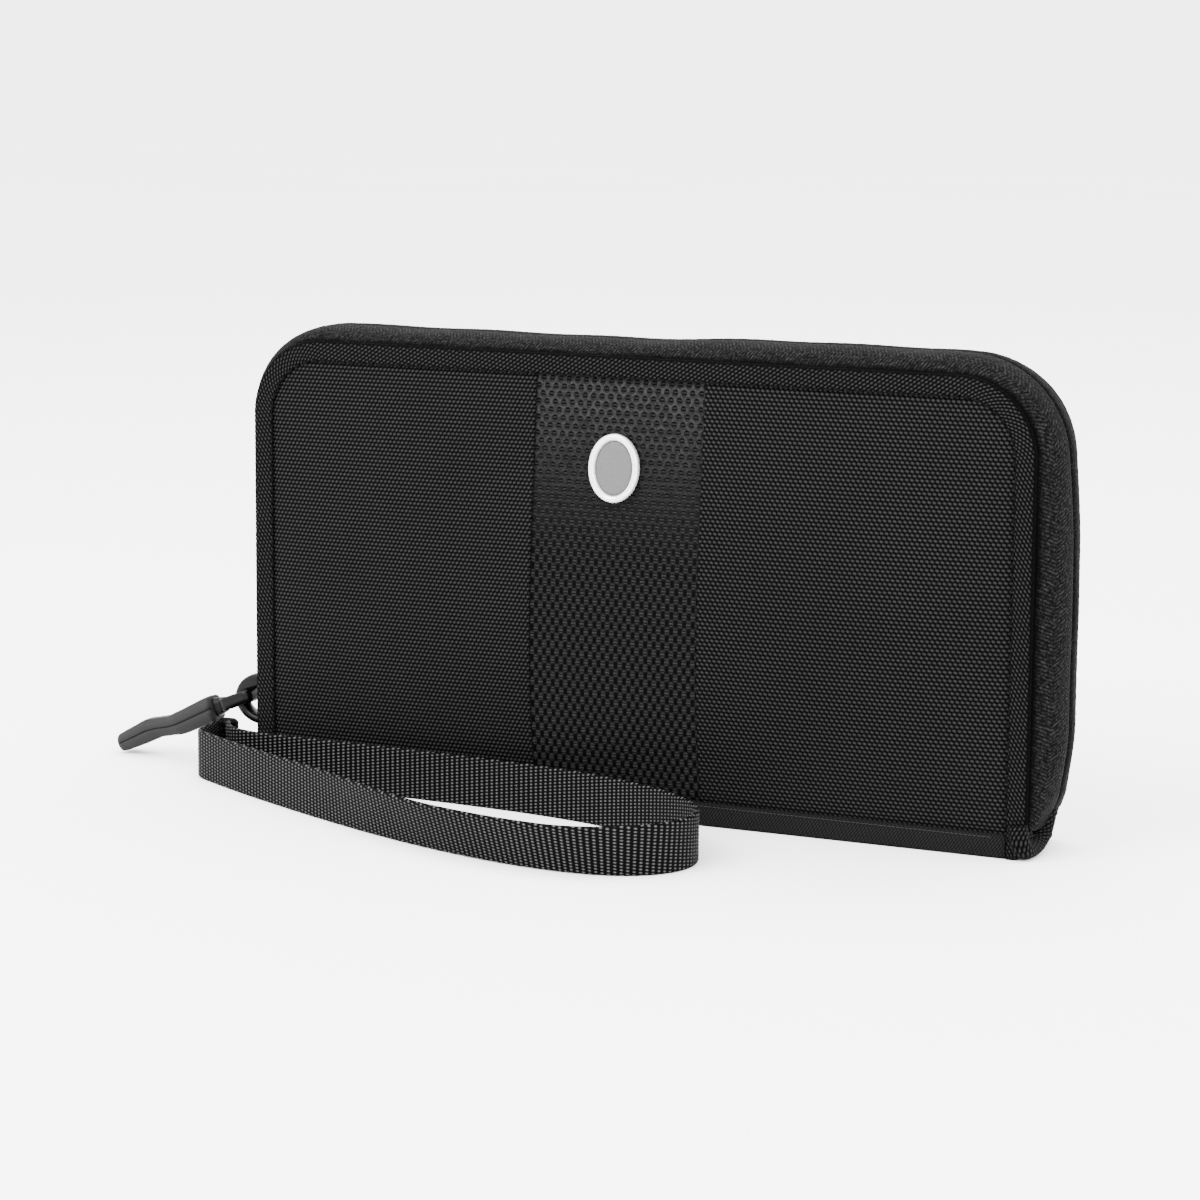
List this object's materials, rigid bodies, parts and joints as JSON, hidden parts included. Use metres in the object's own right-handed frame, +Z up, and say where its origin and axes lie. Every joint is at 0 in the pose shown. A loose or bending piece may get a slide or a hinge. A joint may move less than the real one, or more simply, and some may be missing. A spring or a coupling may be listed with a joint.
{
  "type": "passport holder wallet",
  "caption": "Zip-around travel wallet standing on its spine, with padded covers, a corner slider with a moulded puller, inner pockets and a webbing wrist strap.",
  "frame": {"origin": "middle of the underside of the spine, on the surface that the wallet stands on", "axes": "+X along the long side, towards the end away from the slider; +Y from the front cover to the back cover; +Z up, from the spine to the opposite long edge"},
  "size_m": [0.2635, 0.0886, 0.1185],
  "materials": {
    "ballistic_weave": "coarse woven ballistic nylon",
    "mesh_band": "hexagon mesh jacquard",
    "binding_twill": "herringbone binding tape",
    "zip_knit": "knitted zip tape",
    "webbing": "dotted woven nylon webbing",
    "lining": "plain woven polyester lining",
    "foam": "soft closed-cell foam",
    "board": "flexible board",
    "coil": "coiled nylon filament",
    "black_metal": "gloss black plated zinc",
    "grip_rubber": "matte moulded rubber",
    "plaque_rim": "bright satin metal",
    "plaque_field": "satin grey metal",
    "clear_film": "clear flexible film"
  },
  "bodies": {
    "front_and_spine": {"front_left_panel": "ballistic_weave", "front_right_panel": "ballistic_weave", "front_centre_band": "mesh_band", "front_binding": "binding_twill", "spine_panel": "binding_twill", "zip_end_left": "binding_twill", "zip_end_right": "binding_twill", "front_zip_tape": "zip_knit", "front_zip_coil": "coil", "front_foam": "foam", "front_stiffener": "board", "spine_stiffener": "board", "front_lining": "lining", "spine_lining": "lining", "ticket_pocket": "lining", "passport_pocket": "lining", "document_pocket": "lining", "zip_stop_front_left": "black_metal", "zip_stop_front_right": "black_metal", "badge_rim": "plaque_rim", "badge_field": "plaque_field", "wrist_strap": "webbing", "strap_connector": "webbing", "strap_tab": "webbing"},
    "back_cover": {"back_panel": "ballistic_weave", "back_foam": "foam", "back_stiffener": "board", "back_lining": "lining", "back_binding": "binding_twill", "back_zip_tape": "zip_knit", "back_zip_coil": "coil", "back_spine_edge": "binding_twill", "zip_stop_back_left": "black_metal", "zip_stop_back_right": "black_metal", "card_slot_1": "lining", "card_slot_2": "lining", "card_slot_3": "lining", "card_slot_4": "lining", "window_frame": "lining", "window_sheet": "clear_film", "coin_pocket": "lining", "coin_zip_tape": "zip_knit", "coin_zip_coil": "coil"},
    "zip_slider": {"slider_body": "black_metal", "slider_bridge": "black_metal"},
    "zip_puller": {"puller_link": "black_metal", "puller_grip": "grip_rubber"},
    "coin_slider_body": {"coin_slider": "black_metal"},
    "coin_puller_body": {"coin_puller": "black_metal"}
  },
  "joints": [
    {"name": "back_cover_hinge", "type": "hinge", "parent": "front_and_spine", "child": "back_cover", "pos_m": [0, 0.013, 0.004], "axis": [-1, 0, 0], "range_deg": [0, 90]},
    {"name": "zip_slider_travel", "type": "slide", "parent": "front_and_spine", "child": "zip_slider", "axis": [0, 0, 1], "range_m": [0, 0.07]},
    {"name": "puller_swing", "type": "hinge", "parent": "zip_slider", "child": "zip_puller", "pos_m": [-0.1136, 0, 0.0185], "axis": [0, 1, 0], "range_deg": [0, 90]},
    {"name": "coin_slider_travel", "type": "slide", "parent": "back_cover", "child": "coin_slider_body", "axis": [1, 0, 0], "range_m": [0, 0.065]},
    {"name": "coin_puller_swing", "type": "hinge", "parent": "coin_slider_body", "child": "coin_puller_body", "pos_m": [0.017, 0.0024, 0.095], "axis": [-1, 0, 0], "range_deg": [0, 25]}
  ]
}
